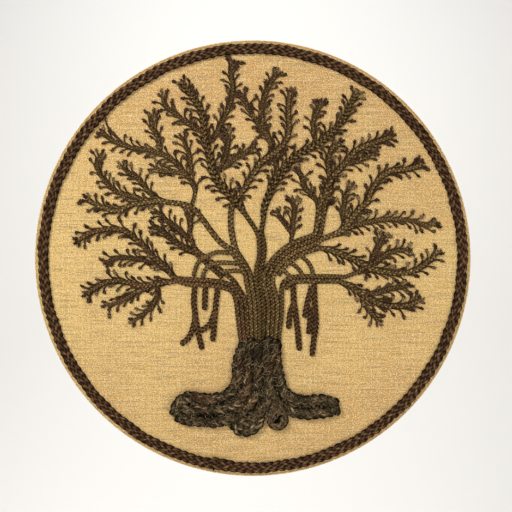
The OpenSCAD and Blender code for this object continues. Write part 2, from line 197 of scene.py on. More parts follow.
room = bmesh.new()
floor_z, wall_y, cove_r, room_half = -1.5, 3.2, 1.2, 6.0
corner = [room.verts.new((-room_half, wall_y - cove_r, floor_z))]
bmesh.ops.spin(
    room,
    geom=corner,
    cent=(0, wall_y - cove_r, floor_z + cove_r),
    axis=(1, 0, 0),
    angle=math.pi / 2,
    steps=24,
)
room.verts.ensure_lookup_table()
floor_end = room.verts.new((-room_half, -room_half, floor_z))
wall_end = room.verts.new((-room_half, wall_y, room_half))
ends = sorted(room.verts[:25], key=lambda v: v.co.z)
room.edges.new((floor_end, ends[0]))
room.edges.new((ends[-1], wall_end))
drawn = bmesh.ops.extrude_edge_only(room, edges=room.edges[:])
far_side = [v for v in drawn["geom"] if isinstance(v, bmesh.types.BMVert)]
bmesh.ops.translate(room, verts=far_side, vec=(2 * room_half, 0, 0))
bmesh.ops.recalc_face_normals(room, faces=room.faces)
room_mesh = bpy.data.meshes.new("room")
room.to_mesh(room_mesh)
for face in room_mesh.polygons:
    face.use_smooth = True
backdrop = link(bpy.data.objects.new("room", room_mesh))
room_paint = Finish("room_paint", {"Base Color": (0.90, 0.89, 0.87, 1), "Roughness": 0.95})
room_mesh.materials.append(room_paint.material)

sky = bpy.data.worlds.new("sky")
sky.use_nodes = True
sky.node_tree.nodes["Background"].inputs["Color"].default_value = (1.0, 0.995, 0.985, 1)
sky.node_tree.nodes["Background"].inputs["Strength"].default_value = 0.40
bpy.context.scene.world = sky


# ---- Backing board --------------------------------------------------------------------------
# A disc sawn from thin plywood, with two pilot holes for the hanger. Only its back shows, inside
# the turned-in cloth: pale rotary-cut veneer with a long wavy grain and a few dark pores.

ply = Finish("plywood", {"Specular IOR Level": 0.3})
x, y, z = ply.parts(ply.place())
grain_wave = ply.noise(ply.vector(x * 0.7, y, z * 3.2), 2.5, 3)
rings = ((z * 26 + grain_wave * 11) * (2 * math.pi)).sine().between(-0.9, 1)
pores = ply.noise(ply.vector(x * 22, y, z * 900), 1.0, 4).between(0.6, 0.78)
veneer = ply.ramp(
    rings * 0.7 + ply.noise(ply.vector(x * 6, y, z * 260), 1.0, 5) * 0.3,
    [(0.0, (0.55, 0.38, 0.21)), (0.5, (0.63, 0.46, 0.27)), (1.0, (0.69, 0.52, 0.33))],
)
ply.set({"Base Color": ply.mix(pores * 0.6, veneer, (0.30, 0.18, 0.09)), "Roughness": 0.62 + pores * 0.2})
ply.bump(rings * 0.3 - pores, 0.0002, 0.5)
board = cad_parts["backing_board"]
board.data.materials.clear()
board.data.materials.append(ply.material)


# ---- Ground cloth ---------------------------------------------------------------------------
# One disc of plain-woven hessian, pulled tight over the front and round the rim, and turned in
# over the back, where the spare cloth gathers in small pleats and its cut edge frays.

hem_inner_r = 0.370
cloth_t = 0.001
thread_pitch = 0.0022
rim_round = 0.0012
pleats = 96

cloth = bmesh.new()
outline = [
    (0.0, cloth_front),
    (0.10, cloth_front),
    (0.20, cloth_front),
    (0.30, cloth_front),
    (0.36, cloth_front),
    (disc_r - rim_round, cloth_front),
    (disc_r - rim_round * 0.3, cloth_front + rim_round * 0.3),
    (disc_r, cloth_front + rim_round),
    (disc_r, cloth_back - rim_round),
    (disc_r - rim_round * 0.3, cloth_back - rim_round * 0.3),
    (disc_r - rim_round, cloth_back),
    (0.390, cloth_back),
    (0.382, cloth_back),
    (0.375, cloth_back),
    (hem_inner_r + 0.001, cloth_back),
    (hem_inner_r, cloth_back - 0.0005),
    (hem_inner_r, 0.0),
    (disc_r - cloth_t, 0.0),
    (disc_r - cloth_t, cloth_front + cloth_t),
    (0.0, cloth_front + cloth_t),
]
points = [cloth.verts.new((r, y, 0)) for r, y in outline]
for first, second in zip(points, points[1:]):
    cloth.edges.new((first, second))
bmesh.ops.spin(
    cloth,
    geom=cloth.verts[:] + cloth.edges[:],
    cent=(0, 0, 0),
    axis=(0, 1, 0),
    angle=2 * math.pi,
    steps=4 * pleats,
    use_merge=True,
)
bmesh.ops.remove_doubles(cloth, verts=cloth.verts, dist=1e-6)
bmesh.ops.recalc_face_normals(cloth, faces=cloth.faces)
rng = random.Random(5)
pleat_depth = [rng.uniform(0.2, 1.0) for _ in range(pleats)]
for v in cloth.verts:
    r = math.hypot(v.co.x, v.co.z)
    if v.co.y > cloth_back - 0.0006 and r < disc_r - rim_round * 1.5:
        turn = (math.atan2(v.co.z, v.co.x) / (2 * math.pi)) % 1 * pleats
        depth = pleat_depth[int(turn) % pleats]
        share = min(1, (disc_r - r) / 0.02)
        v.co.y -= 0.00045 * share * depth * (0.5 - 0.5 * math.cos(2 * math.pi * turn))
        if r < hem_inner_r + 0.002:
            fray = 1 + 0.0045 * math.sin(turn * 2.1) * math.sin(turn * 0.37 + 1)
            v.co.x *= fray
            v.co.z *= fray
cloth_mesh = bpy.data.meshes.new("hessian_cloth")
cloth.to_mesh(cloth_mesh)
for face in cloth_mesh.polygons:
    face.use_smooth = abs(face.normal.y) < 0.99 or face.center.y > 0
hessian_cloth = link(bpy.data.objects.new("hessian_cloth", cloth_mesh))

hessian = Finish("hessian", {"Roughness": 0.95, "Specular IOR Level": 0.1})
place = hessian.place()
x, y, z = hessian.parts(place)
warp_drift = hessian.noise(hessian.vector(x * 0.4, y, z * 0.06), 60, 2) * 0.9
weft_drift = hessian.noise(hessian.vector(x * 0.06, y, z * 0.4), 60, 2) * 0.9
warp = ((x * (1 / thread_pitch) + warp_drift) * math.pi).sine()
weft = ((z * (1 / thread_pitch) + weft_drift) * math.pi).sine()
crossing = warp * weft
over = crossing.between(-0.12, 0.12)
warp_bulge = warp.size() * (weft.size() ** 0.35)
weft_bulge = weft.size() * (warp.size() ** 0.35)
knuckle = warp_bulge * over + weft_bulge * (1 - over)
weft_slub = hessian.noise(hessian.vector(x * 16, y, z * 400), 1.0, 3)
warp_slub = hessian.noise(hessian.vector(x * 400, y, z * 16), 1.0, 3)
coarse_slub = hessian.noise(hessian.vector(x * 9, y, z * 170), 1.0, 2)
cloudy = hessian.noise(place, 7.0, 3)
fibre = hessian.noise(place, 1500.0, 2)
speckle = hessian.noise(place, 480.0, 2)
warm = (z.size() * 2.4 + z * 0.5 + x * 0.5 + cloudy * 1.2).between(0.55, 1.50)
base = hessian.mix(warm, (0.99, 0.620, 0.165), (0.71, 0.330, 0.068))
base = hessian.mix(weft_slub.between(0.49, 0.35) * 0.85, base, (0.36, 0.20, 0.06))
base = hessian.mix(warp_slub.between(0.48, 0.33) * 0.5, base, (0.42, 0.245, 0.08))
base = hessian.mix(coarse_slub.between(0.42, 0.30) * 0.6, base, (0.36, 0.20, 0.065))
base = hessian.mix(weft_slub.between(0.52, 0.66) * 0.6, base, (1.0, 0.78, 0.40))
base = hessian.mix(speckle.between(0.51, 0.61) * 0.85, base, (1.0, 0.85, 0.46))
base = hessian.mix(speckle.between(0.49, 0.38) * 0.8, base, (0.38, 0.21, 0.065))
base = hessian.mix(over * 0.15, base, (0.95, 0.72, 0.38))
# Painted shade: the cloth is darker where its threads dip between the knuckles of the weave.
base = hessian.mix(knuckle.between(0.75, 0.12) * 0.80, base, (0.22, 0.115, 0.030))
base = hessian.mix(fibre.between(0.40, 0.65) * knuckle * 0.35, base, (1.0, 0.84, 0.52))
# Painted shade: a thin darker line where the cloth turns round the rim.
rim_painted_shade = ((x * x + z * z) ** 0.5 - 0.3972).size().between(0.0011, 0.0003)
base = hessian.mix(rim_painted_shade * 0.5, base, (0.36, 0.21, 0.08))
hessian.set({"Base Color": base})
hessian.bump(knuckle + weft_slub * 0.4 + fibre * 0.2, 0.0007, 0.85)
cloth_mesh.materials.append(hessian.material)

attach(hessian_cloth, "panel")
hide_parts("ground_cloth")


# ---- Staples --------------------------------------------------------------------------------
# Galvanised wire staples, driven through the turned-in cloth into the board until their crowns
# lie flush. Each is one bent wire, and they stand in one row round the hem.

staple_low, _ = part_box("cloth_staples")
staple_row_r = 0.379
staple_crown = 0.010
staple_wire = 0.0008
staple_count = 53
staple_bite = staple_low.y


def steel(name, colour, roughness, spangle):
    """Bright zinc on steel, with a faint crystal spangle and fine scratches."""
    finish = Finish(name, {"Metallic": 1.0})
    place = finish.place()
    crystals = finish.noise(place, spangle, 2)
    x, y, z = finish.parts(place)
    scratches = finish.noise(finish.vector(x * 900, y * 900, z * 60), 1, 2)
    dull = finish.mix(crystals.between(0.35, 0.7), colour, tuple(0.8 * c for c in colour))
    finish.set({"Base Color": dull, "Roughness": roughness + crystals * 0.15 + scratches * 0.1})
    finish.bump(scratches, 0.00003, 0.4)
    return finish.material


zinc = steel("zinc_plate", (0.66, 0.65, 0.62), 0.22, 700)
staple_steel = steel("staple_wire", (0.60, 0.60, 0.59), 0.34, 1200)


def swept(name, material, bevel_r, sides=1):
    """A curve that carries wires or strands of round section."""
    data = bpy.data.curves.new(name, "CURVE")
    data.dimensions = "3D"
    data.bevel_depth = bevel_r
    data.bevel_resolution = sides
    data.use_fill_caps = True
    data.twist_mode = "Z_UP"
    data.materials.append(material)
    return data


def add_spline(data, points, radii, dye=0):
    spline = data.splines.new("POLY")
    spline.points.add(len(points) - 1)
    spline.points.foreach_set("co", [c for p in points for c in (*p, 1.0)])
    spline.points.foreach_set("radius", radii)
    spline.material_index = dye
    spline.use_smooth = True
    return spline


def as_mesh(data, name):
    """The curve's swept mesh, with its end caps welded on."""
    carrier = bpy.data.objects.new(name, data)
    link(carrier)
    graph = bpy.context.evaluated_depsgraph_get()
    mesh = bpy.data.meshes.new_from_object(carrier.evaluated_get(graph), depsgraph=graph)
    bpy.data.objects.remove(carrier)
    mesh.name = name
    return mesh


def weld(mesh):
    made = bmesh.new()
    made.from_mesh(mesh)
    bmesh.ops.remove_doubles(made, verts=made.verts, dist=2e-6)
    bmesh.ops.recalc_face_normals(made, faces=made.faces)
    made.to_mesh(mesh)
    made.free()
    return mesh


staple_data = swept("wire_staples", staple_steel, staple_wire / 2)
half_crown = staple_crown / 2 - staple_wire / 2
crown_y = cloth_back - staple_wire / 2 + 0.0001
shoulder = 0.0007
for n in range(staple_count):
    turn = Matrix.Rotation(-2 * math.pi * n / staple_count, 3, "Y")
    wire = [
        (-half_crown, staple_bite, 0),
        (-half_crown, crown_y - shoulder, 0),
        (-half_crown + shoulder * 0.3, crown_y - shoulder * 0.3, 0),
        (-half_crown + shoulder, crown_y, 0),
        (half_crown - shoulder, crown_y, 0),
        (half_crown - shoulder * 0.3, crown_y - shoulder * 0.3, 0),
        (half_crown, crown_y - shoulder, 0),
        (half_crown, staple_bite, 0),
    ]
    placed = [turn @ (Vector(p) + Vector((0, 0, staple_row_r))) for p in wire]
    add_spline(staple_data, placed, [1.0] * len(placed))
wire_staples = link(bpy.data.objects.new("wire_staples", weld(as_mesh(staple_data, "wire_staples"))))
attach(wire_staples, "panel")
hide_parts("cloth_staples")


# ---- Trunk and limb plaits ------------------------------------------------------------------
# Flat plaits of dyed two-ply jute, with three strands, or five in the two widest limbs. Eleven
# lie side by side up the trunk, sewn to the cloth, and fan out into the limbs. Yarns' ends are
# pulled out beside their outer half as short twigs, each finished with a tight dark knot.

plait_w, plait_t, tip_w = 0.0081, 0.004, 0.0065
snug = 1.2
pitch = plait_w + 0.00025
columns = 11
trunk_z = [-0.158, -0.130, -0.105, -0.078]
trunk_middle = [0.013, 0.0125, 0.0125, 0.011]
trunk_squeeze = [0.83, 0.89, 0.96, 1.0]
squeeze_z = [-0.150, -0.130, -0.105, -0.078]
plait_period = 2.05


def trunk(k):
    """The way up the trunk of one of its plaits, counted from the left."""
    return [
        (middle + (k - (columns - 1) / 2) * pitch * squeeze, z)
        for z, middle, squeeze in zip(trunk_z, trunk_middle, trunk_squeeze)
    ]


def smooth(points, step):
    """A smooth curve through a route's points: places a step apart, and the way across at each."""
    p = np.array([points[0], *points, points[-1]], float)
    t = np.linspace(0, 1, 24, endpoint=False)[:, None]
    runs = [
        0.5 * (2 * b + (c - a) * t + (2 * a - 5 * b + 4 * c - d) * t**2 + (3 * b - a - 3 * c + d) * t**3)
        for a, b, c, d in zip(p, p[1:], p[2:], p[3:])
    ]
    dense = np.vstack([*runs, p[-1:]])
    along = np.concatenate([[0], np.cumsum(np.linalg.norm(np.diff(dense, axis=0), axis=1))])
    count = max(4, int(round(along[-1] / step)) + 1)
    places = np.linspace(0, along[-1], count)
    path = np.column_stack([np.interp(places, along, dense[:, i]) for i in (0, 1)])
    ahead = np.gradient(path, places, axis=0)
    ahead /= np.linalg.norm(ahead, axis=1)[:, None]
    return path, np.column_stack([-ahead[:, 1], ahead[:, 0]]), places


def beside(points, d):
    """A route moved sideways to the right, so that plaits can lie next to each other."""
    p = np.array(points, float)
    ahead = np.array([p[min(i + 1, len(p) - 1)] - p[max(i - 1, 0)] for i in range(len(p))])
    ahead /= np.linalg.norm(ahead, axis=1)[:, None]
    return [tuple(q) for q in p - d * np.column_stack([-ahead[:, 1], ahead[:, 0]])]


class Strands:
    """The strands of one piece. They are swept as one curve, and pressed flat on the cloth."""

    def __init__(self, name, dyes, thick, sides=1, press=0.58):
        self.name = name
        self.thick = thick
        self.press = press
        self.sides = 4 + 2 * sides
        self.curve = swept(name, dyes[0], 1.0, sides)
        for dye in dyes[1:]:
            self.curve.materials.append(dye)
        self.tints = []
        self.counts = []
        self.lengths = []
        self.lifts = []

    def add(self, plan, height, radii, tint, dye=0, lift=0.0):
        """plan holds the strand's x and z, and height how far its middle stands off the cloth."""
        height = np.broadcast_to(height, len(plan)) + lift
        points = np.column_stack([plan[:, 0], -height / self.press, plan[:, 1]])
        add_spline(self.curve, points.tolist(), np.broadcast_to(radii, len(plan)).tolist(), dye)
        self.tints.append(tint)
        self.counts.append(len(plan))
        self.lengths.append(float(np.linalg.norm(np.diff(points, axis=0), axis=1).sum()))
        self.lifts.append(np.broadcast_to(lift, len(plan)))

    def made(self, body="panel"):
        mesh = as_mesh(self.curve, self.name)
        mesh.transform(Matrix.Diagonal((1, self.press, 1, 1)))
        mesh.transform(Matrix.Translation((0, cloth_front, 0)))
        caps = [2 * (self.sides - 2)] * len(self.tints)
        tubes = [(n - 1) * self.sides for n in self.counts]
        strand = np.repeat(list(range(len(self.tints))) * 2, caps + tubes)
        mesh.attributes.new("tint", "FLOAT", "FACE")
        mesh.attributes["tint"].data.foreach_set("value", np.array(self.tints, np.float32)[strand])
        face_size = np.zeros(len(mesh.polygons), np.int32)
        mesh.polygons.foreach_get("loop_total", face_size)
        strand = np.repeat(strand, face_size)
        mesh.uv_layers[0].name = "lay"
        corners = np.zeros(2 * len(mesh.loops), np.float32)
        mesh.uv_layers["lay"].data.foreach_get("uv", corners)
        counts = np.array(self.counts)
        first = (np.cumsum(counts) - counts)[strand]
        lift = np.concatenate(self.lifts)[first + np.rint(corners[::2] * (counts[strand] - 1)).astype(int)]
        places = np.zeros(3 * len(mesh.vertices), np.float32)
        mesh.vertices.foreach_get("co", places)
        used = np.zeros(len(mesh.loops), np.int32)
        mesh.loops.foreach_get("vertex_index", used)
        # rise is each corner's height over the cloth as a share of the piece's thickness. The jute
        # finishes paint shade from it in the hollows between strands, and a highlight on the crests.
        rise = (cloth_front - places[1::3][used] - lift) / self.thick
        mesh.attributes.new("rise", "FLOAT", "CORNER")
        mesh.attributes["rise"].data.foreach_set("value", rise.astype(np.float32))
        corners[::2] *= np.array(self.lengths, np.float32)[strand]
        mesh.uv_layers["lay"].data.foreach_set("uv", corners)
        piece = link(bpy.data.objects.new(self.name, weld(mesh)))
        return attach(piece, body)


def jute(name, painted_shade_and_dark_fibre, dye, pale, ply=0.006, other=None, fuzz=0.5, low=0.70, high=1.0):
    """Dyed two-ply jute yarn, with pale fibres. Painted shade makes it near black in the hollows
    between strands and darker in its ply grooves, and a painted highlight pales its crests.

    low and high are where the painted shade of the hollows ends and the painted highlight on
    the crest begins, as shares of the piece's thickness.
    """
    finish = Finish(name, {"Roughness": 0.95, "Specular IOR Level": 0.06})
    along, around, _ = finish.parts(finish.node("ShaderNodeUVMap", {"uv_map": "lay"}, {}, "UV"))
    tint = finish.node("ShaderNodeAttribute", {"attribute_name": "tint"}, {}, "Fac")
    rise = finish.node("ShaderNodeAttribute", {"attribute_name": "rise"}, {}, "Fac")
    place = finish.place()
    twist = around * 2 + along * (1 / ply)
    groove = (twist * math.pi).sine().size() ** 0.5
    fibre = finish.noise(finish.vector(along * 160, twist * 5, tint * 60), 1.0, 3)
    speck = finish.noise(place, 420.0, 2)
    patch = finish.noise(place, 16.0, 2)
    body = finish.mix(patch.between(0.4, 0.62), dye, other or dye)
    colour = finish.mix(fibre.between(0.52, 0.74) * fuzz, body, pale)
    # Painted highlight: pale flecks on the top of each strand.
    crest_highlight = rise.between(high - 0.10, high + 0.03) * speck.between(0.36, 0.56)
    colour = finish.mix(crest_highlight * fuzz * 1.6, colour, pale)
    # Painted shade in the ply grooves, mixed with random dark fibres.
    colour = finish.mix((1 - groove) * 0.5 + fibre.between(0.46, 0.3) * 0.5, colour, painted_shade_and_dark_fibre)
    # Painted shade: near black low down in the hollows between strands, from each corner's rise over the
    # cloth.
    colour = finish.mix(rise.between(high - 0.01, low) * 0.95, colour, painted_shade_and_dark_fibre)
    colour = finish.mix(1.0, colour, finish.vector(tint, tint, tint), "MULTIPLY")
    finish.set({"Base Color": colour})
    finish.bump(groove + fibre * 0.6, 0.0005, 0.8)
    return finish.material


# Each jute finish below takes, in order, its painted shade colour (also used for its dark fibres), its
# dye, and its pale fibre and painted highlight colour.
olive = jute(
    "jute_olive",
    (0.008, 0.004, 0.001),
    (0.150, 0.090, 0.030),
    (0.55, 0.40, 0.19),
    other=(0.140, 0.074, 0.025),
)
red_brown = jute(
    "jute_red_brown",
    (0.012, 0.004, 0.002),
    (0.165, 0.080, 0.033),
    (0.47, 0.32, 0.155),
    other=(0.115, 0.068, 0.025),
)
knot_dye = jute(
    "jute_knots",
    (0.004, 0.001, 0.001),
    (0.026, 0.010, 0.006),
    (0.13, 0.07, 0.04),
    ply=0.003,
    other=(0.048, 0.020, 0.010),
    fuzz=0.4,
    low=0.30,
    high=0.95,
)
twig_dye = jute(
    "jute_twigs",
    (0.006, 0.003, 0.001),
    (0.080, 0.045, 0.018),
    (0.30, 0.20, 0.10),
    ply=0.004,
    other=(0.060, 0.030, 0.014),
    low=0.25,
    high=0.85,
)
knot_slot, twig_slot = 1, 2

rng = random.Random(11)


def width_along(places, start, end):
    """The width of a plait: full in its first half, and tapering over the second."""
    share = places / places[-1]
    return end + (start - end) * np.minimum(1, 2 * (1 - share))


def plait(
    strands, path, sideways, places, width, count=3, start=0.0, dyes=(0,), lift=0.0, fat=1.0,
    tints=(0.8, 1.2),
):
    """A flat plait: each strand swings across it and goes over one and under the next."""
    turn = 2 * math.pi / plait_period
    mean_width = (width[1:] + width[:-1]) / 2
    phase = start + np.concatenate([[0], np.cumsum(turn * np.diff(places) / mean_width)])
    phase *= 3 / count
    r = fat * (0.55 * width.max() + 0.45 * width) * (0.215 if count == 3 else 0.62 / count)
    swing = np.maximum(width / 2 - r, 0)
    low = strands.thick / 2
    hop = np.maximum(low - r * strands.press, 0.0002)
    for k in range(count):
        angle = phase + 2 * math.pi * k / count
        across = np.sin(angle) if count == 3 else np.arcsin(0.96 * np.sin(angle)) / math.asin(0.96)
        height = low + hop * np.sin((count - 1) * angle)
        plan = path + (swing * across)[:, None] * sideways
        wobble = 1 + 0.05 * np.sin(places / 0.013 + 9 * k)
        strands.add(plan, height, r * wobble, rng.uniform(*tints), dyes[k % len(dyes)], lift)


def knot(strands, place, way, size, dye):
    """A twig's tight knot: the yarn is wound twice round itself, and its cut end is a brush."""
    turn = np.linspace(0, 3.6 * math.pi, 13)
    share = turn / turn[-1]
    cross = np.array([-way[1], way[0]])
    ring = size * (0.62 - 0.25 * (2 * share - 1) ** 2)
    plan = place + ((share - 0.5) * 2.3 * size)[:, None] * way + (ring * np.cos(turn))[:, None] * cross
    height = strands.thick * 0.55 + ring * np.sin(turn) * strands.press
    radii = size * np.array([0.30, 0.46, 0.52, 0.56, 0.6, 0.6, 0.6, 0.6, 0.56, 0.52, 0.46, 0.36, 0.2])
    strands.add(plan, height, radii, rng.uniform(0.7, 1.4), dye)
    for side in (-0.5, 0, 0.5):
        lean = side + rng.uniform(-0.22, 0.22)
        reach = rng.uniform(1.5, 2.1)
        brush = place + size * reach * np.outer((0.3, 0.7, 1.0), way)
        brush = brush + size * lean * np.outer((0.3, 0.8, 1.4), cross)
        strands.add(brush, strands.thick * 0.42, size * 0.2, rng.uniform(0.6, 1.5), dye)


def loop(strands, place, way, size, thick):
    """A twig's end that is turned back on itself in a small open loop."""
    turn = np.linspace(0, 1.75 * math.pi, 9)
    cross = np.array([-way[1], way[0]]) * rng.choice((-1, 1))
    plan = place + size * np.outer(np.sin(turn), way) + size * np.outer(1 - np.cos(turn), cross)
    height = strands.thick * 0.45 + 0.0001 * turn
    strands.add(plan, height, thick, rng.uniform(0.7, 1.1), twig_slot)


def twig(strands, path, ahead, sideways, width, leaves, sign):
    """A yarn that runs along the limb's side for a while, then bends away to its knot."""
    back = max(0, leaves - rng.randint(9, 14))
    half = width[leaves] / 2
    along = np.arange(back, leaves, 2)
    share = (along - back) / (leaves - back)
    out = (0.35 + 0.65 * share**0.7) * half + 0.0011 * share
    hugging = path[along] + sign * out[:, None] * sideways[along]
    t = np.linspace(0, 1, 7)[:, None]
    reach = rng.uniform(0.0060, 0.0115)
    spread = rng.uniform(0.0050, 0.0095)
    bend = rng.uniform(1.2, 1.8)
    curl = rng.gauss(0, 0.0018)
    root = path[leaves] + sign * (half + 0.0012) * sideways[leaves]
    free = root + reach * (t - 18 * curl * t**3) * ahead[leaves]
    free = free + sign * (spread * t**bend + curl * t**3) * sideways[leaves]
    plan = np.vstack([hugging, free])
    thick = rng.uniform(0.0014, 0.0018)
    height = strands.thick * np.concatenate([np.linspace(0.25, 0.46, len(along)), 0.46 - 0.04 * t[:, 0]])
    radii = np.concatenate([np.full(len(along), thick), thick * (1 + 0.1 * t[:, 0])])
    strands.add(plan, height, radii, rng.uniform(0.6, 1.3), twig_slot)
    way = plan[-1] - plan[-2]
    way /= np.linalg.norm(way)
    if rng.random() < 0.18:
        loop(strands, plan[-1], way, 0.0023, 0.0013)
    else:
        size = rng.uniform(0.0026, 0.0037)
        knot(strands, plan[-1], way, size, rng.choice((knot_slot, knot_slot, knot_slot, twig_slot)))


def twigs(strands, path, sideways, places, width, bare, spacing=0.0158):
    """Twigs on both sides of a limb from the bare length on, and a fan of knotted ends at its tip."""
    ahead = np.column_stack([sideways[:, 1], -sideways[:, 0]])
    offset = rng.uniform(0, spacing / 2)
    for sign in (-1, 1):
        at = bare + offset + (spacing / 2 if sign > 0 else 0)
        while at < places[-1] - 0.004:
            leaves = int(np.searchsorted(places, at))
            twig(strands, path, ahead, sideways, width, leaves, sign)
            at += spacing * rng.uniform(0.75, 1.2)
    last = len(path) - 1
    for angle in (-34, 1, 35):
        a = math.radians(angle + rng.uniform(-8, 8))
        way = math.cos(a) * ahead[last] + math.sin(a) * sideways[last]
        start = path[last - 3] + math.sin(a) * 0.004 * sideways[last]
        reach = rng.uniform(0.004, 0.012)
        plan = start + np.linspace(0, reach, 4)[:, None] * way
        thick = rng.uniform(0.0015, 0.0020)
        strands.add(plan, strands.thick * 0.48, thick, rng.uniform(0.6, 1.3), twig_slot)
        size = rng.uniform(0.0025, 0.0036)
        knot(strands, plan[-1], way, size, rng.choice((knot_slot, knot_slot, twig_slot)))


def over_others(path, others, full=0.0033):
    """How far a plait rides up where it crosses plaits that were sewn down before it."""
    lift = np.zeros(len(path))
    for other in others:
        gap = np.sqrt(((path[:, None, :] - other[None, :, :]) ** 2).sum(2)).min(1)
        lift = np.maximum(lift, np.clip((0.0062 - gap) / 0.0035, 0, 1))
    window = np.hanning(9)
    return full * np.minimum(1, np.convolve(np.pad(lift, 4, "edge"), window / window.sum(), "valid"))


limb_left_low = [(-0.038, -0.056), (-0.059, -0.048), (-0.082, -0.045), (-0.098, -0.044), (-0.120, -0.043)]
limb_left_mid = [(-0.037, -0.046), (-0.053, -0.032), (-0.069, -0.018), (-0.083, -0.006)]
limb_centre = [(0.010, -0.040), (0.011, -0.020), (0.016, 0.004), (0.016, 0.028), (0.012, 0.048)]
limb_right = [
    (0.032, -0.042), (0.037, -0.023), (0.052, -0.004), (0.070, 0.011), (0.092, 0.022), (0.110, 0.028),
]
limb_right_low = [(0.057, -0.053), (0.068, -0.041), (0.088, -0.038), (0.120, -0.038), (0.150, -0.038)]

way_left_far = [
    (-0.140, -0.042), (-0.155, -0.044), (-0.175, -0.046), (-0.192, -0.050), (-0.210, -0.050),
    (-0.226, -0.045), (-0.250, -0.041), (-0.270, -0.045), (-0.290, -0.055), (-0.304, -0.066),
]
way_left_drop = [
    (-0.144, -0.035), (-0.160, -0.016), (-0.180, 0.000), (-0.196, 0.018), (-0.214, 0.035),
    (-0.230, 0.048), (-0.255, 0.054), (-0.280, 0.051), (-0.302, 0.044), (-0.320, 0.032),
]
way_left_riser = [(-0.100, 0.012), (-0.110, 0.026), (-0.115, 0.045), (-0.115, 0.065), (-0.114, 0.084)]
way_left_claw = [
    (-0.104, 0.008), (-0.115, 0.015), (-0.130, 0.022), (-0.150, 0.036), (-0.168, 0.052), (-0.184, 0.056),
]
way_left_high = [
    (-0.016, -0.024), (-0.030, 0.000), (-0.042, 0.016), (-0.062, 0.032), (-0.078, 0.052), (-0.094, 0.074),
    (-0.108, 0.090), (-0.124, 0.098), (-0.150, 0.102), (-0.176, 0.105), (-0.194, 0.102), (-0.210, 0.100),
    (-0.228, 0.096), (-0.248, 0.086), (-0.272, 0.092), (-0.290, 0.100), (-0.304, 0.110),
]
way_crossing = [
    (-0.006, -0.026), (-0.019, -0.004), (-0.030, 0.012), (-0.036, 0.032), (-0.040, 0.058), (-0.040, 0.084),
    (-0.034, 0.104), (-0.018, 0.124), (-0.002, 0.150), (0.016, 0.176), (0.032, 0.187), (0.046, 0.198),
    (0.059, 0.213), (0.066, 0.232), (0.066, 0.254), (0.065, 0.280), (0.068, 0.306),
]
way_centre_left = [
    (-0.012, 0.078), (-0.028, 0.100), (-0.044, 0.118), (-0.062, 0.138), (-0.074, 0.158), (-0.077, 0.180),
    (-0.084, 0.204), (-0.090, 0.226), (-0.090, 0.248), (-0.097, 0.274), (-0.110, 0.294), (-0.130, 0.324),
]
way_centre_right = [
    (0.019, 0.068), (0.021, 0.092), (0.028, 0.112), (0.036, 0.132), (0.046, 0.148), (0.057, 0.161),
    (0.076, 0.186), (0.102, 0.200), (0.124, 0.211), (0.142, 0.228), (0.160, 0.246), (0.172, 0.264),
    (0.180, 0.284), (0.192, 0.302),
]
way_right_high = [
    (0.114, 0.046), (0.118, 0.062), (0.121, 0.084), (0.123, 0.102), (0.134, 0.122), (0.142, 0.142),
    (0.158, 0.162), (0.172, 0.178), (0.188, 0.196), (0.208, 0.206), (0.230, 0.214), (0.254, 0.222),
]
way_right_inner = [
    (0.123, 0.044), (0.127, 0.062), (0.130, 0.084), (0.132, 0.100), (0.141, 0.122), (0.140, 0.150),
    (0.138, 0.176), (0.143, 0.198), (0.160, 0.210),
]
way_right_mid = [
    (0.128, 0.035), (0.148, 0.043), (0.164, 0.051), (0.178, 0.068), (0.194, 0.088), (0.210, 0.104),
    (0.219, 0.128), (0.234, 0.148), (0.254, 0.160), (0.274, 0.162), (0.296, 0.166), (0.310, 0.172),
]
way_right_reach = [
    (0.128, 0.018), (0.150, 0.012), (0.174, 0.002), (0.196, -0.008), (0.218, -0.020), (0.244, -0.026),
    (0.272, -0.028), (0.298, -0.022), (0.319, -0.008), (0.338, 0.010),
]
way_right_low_up = [(0.170, -0.034), (0.188, -0.027), (0.204, -0.020)]
way_right_low_down = [
    (0.162, -0.044), (0.178, -0.051), (0.196, -0.064), (0.216, -0.076), (0.238, -0.086), (0.264, -0.088),
    (0.288, -0.086), (0.308, -0.076),
]

# Each limb has its name, its stem in the trunk, its free way, the bare length before its first
# twig, how much wider its free part is, and its dye.
half = pitch / 2
limbs = [
    ("crossing", [*trunk(4), (-0.002, -0.050)], way_crossing, 0.137, 1.25, olive),
    ("left_high", [*trunk(3), (-0.0105, -0.050)], way_left_high, 0.205, 1.2, olive),
    ("centre_left", [*trunk(5), *beside(limb_centre, -half)], way_centre_left, 0.018, 1.7, olive),
    ("centre_right", [*trunk(6), *beside(limb_centre, half)], way_centre_right, 0.055, 1.6, olive),
    ("right_high", [*trunk(7), *beside(limb_right, -3 * half)], way_right_high, 0.040, 1.3, olive),
    ("right_inner", [*trunk(8), *beside(limb_right, -half)], way_right_inner, 0.045, 1.15, olive),
    ("right_mid", [*trunk(9), *beside(limb_right, half)], way_right_mid, 0.030, 1.25, olive),
    ("right_reaching", beside(limb_right[1:], 3 * half), way_right_reach, 0.004, 1.25, olive),
    ("right_low_upper", [*trunk(10), *beside(limb_right_low, -half)], way_right_low_up, 0.028, 1.1, olive),
    ("right_low_lower", beside(limb_right_low, half), way_right_low_down, 0.012, 1.25, olive),
    ("left_mid_upper", [*trunk(2), *beside(limb_left_mid, half)], way_left_riser, 0.048, 1.15, red_brown),
    ("left_low_inner", [*trunk(1), *beside(limb_left_low, half)], way_left_drop, 0.004, 1.25, red_brown),
    ("left_low_outer", [*trunk(0), *beside(limb_left_low, -half)], way_left_far, 0.018, 1.2, red_brown),
    ("left_mid_lower", beside(limb_left_mid[1:], -half), way_left_claw, 0.004, 1.1, red_brown),
]


def way_length(points):
    return float(np.linalg.norm(np.diff(np.array(points), axis=0), axis=1).sum())


